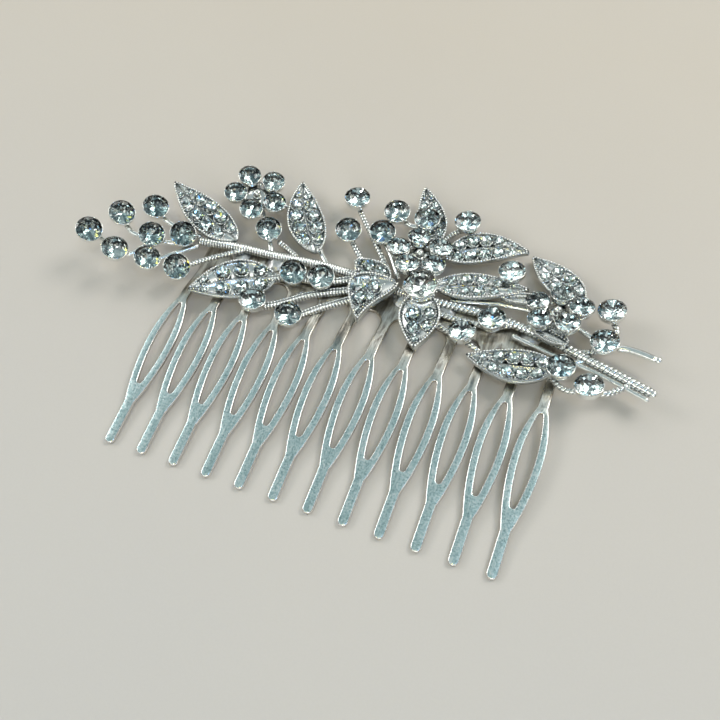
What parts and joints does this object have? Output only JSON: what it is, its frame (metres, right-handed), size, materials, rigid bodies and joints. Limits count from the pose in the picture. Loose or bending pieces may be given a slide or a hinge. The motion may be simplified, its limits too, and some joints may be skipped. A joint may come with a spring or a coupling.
{
  "type": "decorative hair comb",
  "caption": "Silver-plated decorative hair comb: a stamped comb with looped teeth carrying a soldered spray of crystal-set cups, leaves and a flower.",
  "frame": {"origin": "centre of the spine's flat back face, which is also the plane the comb lies on", "axes": "+X along the spine towards the long straight stem ends, -Y along the teeth to their tips, +Z out of the decorated face"},
  "size_m": [0.103, 0.064, 0.0091],
  "materials": {
    "comb_plate": "bright silver plate with a fine satin grain on the flats",
    "stem_metal": "bright silver plate, milled",
    "leaf_metal": "bright silver plate, cast and beaded",
    "cup_metal": "bright silver plate",
    "solder": "dull soft solder under plate",
    "crystal_stones": "clear faceted crystal over silver foil",
    "leaf_stones": "clear faceted crystal over silver foil"
  },
  "bodies": {
    "root": {"comb_blank": "comb_plate", "solder_joints": "solder", "main_stem_left": "stem_metal", "main_stem_right": "stem_metal", "under_wire_right": "stem_metal", "left_spray_stems": "stem_metal", "left_branch_stems": "stem_metal", "lower_branch_stems": "stem_metal", "top_branch_stems": "stem_metal", "right_branch_stems": "stem_metal", "lower_right_stems": "stem_metal", "left_spray_cups": "cup_metal", "left_spray_stones": "crystal_stones", "left_single_cups": "cup_metal", "left_single_stones": "crystal_stones", "top_single_cups": "cup_metal", "top_single_stones": "crystal_stones", "right_single_cups": "cup_metal", "right_single_stones": "crystal_stones", "lower_right_cups": "cup_metal", "lower_right_stones": "crystal_stones", "left_floret_cups": "cup_metal", "left_floret_stones": "crystal_stones", "top_floret_cups": "cup_metal", "top_floret_stones": "crystal_stones", "right_floret_cups": "cup_metal", "right_floret_stones": "crystal_stones", "upper_left_leaf": "leaf_metal", "upper_left_leaf_stones": "leaf_stones", "tall_leaf": "leaf_metal", "tall_leaf_stones": "leaf_stones", "lower_left_leaf": "leaf_metal", "lower_left_leaf_stones": "leaf_stones", "crest_leaf": "leaf_metal", "crest_leaf_stones": "leaf_stones", "upper_right_leaf": "leaf_metal", "upper_right_leaf_stones": "leaf_stones", "middle_right_leaf": "leaf_metal", "middle_right_leaf_stones": "leaf_stones", "far_right_leaf": "leaf_metal", "far_right_leaf_stones": "leaf_stones", "lower_right_leaf": "leaf_metal", "lower_right_leaf_stones": "leaf_stones", "flower_petal_lower": "leaf_metal", "flower_petal_lower_stones": "leaf_stones", "flower_petal_left": "leaf_metal", "flower_petal_left_stones": "leaf_stones", "flower_petal_upper": "leaf_metal", "flower_petal_upper_stones": "leaf_stones", "flower_centre_cup": "cup_metal", "flower_centre_stone": "crystal_stones", "small_beaded_leaves": "leaf_metal"}
  },
  "joints": []
}
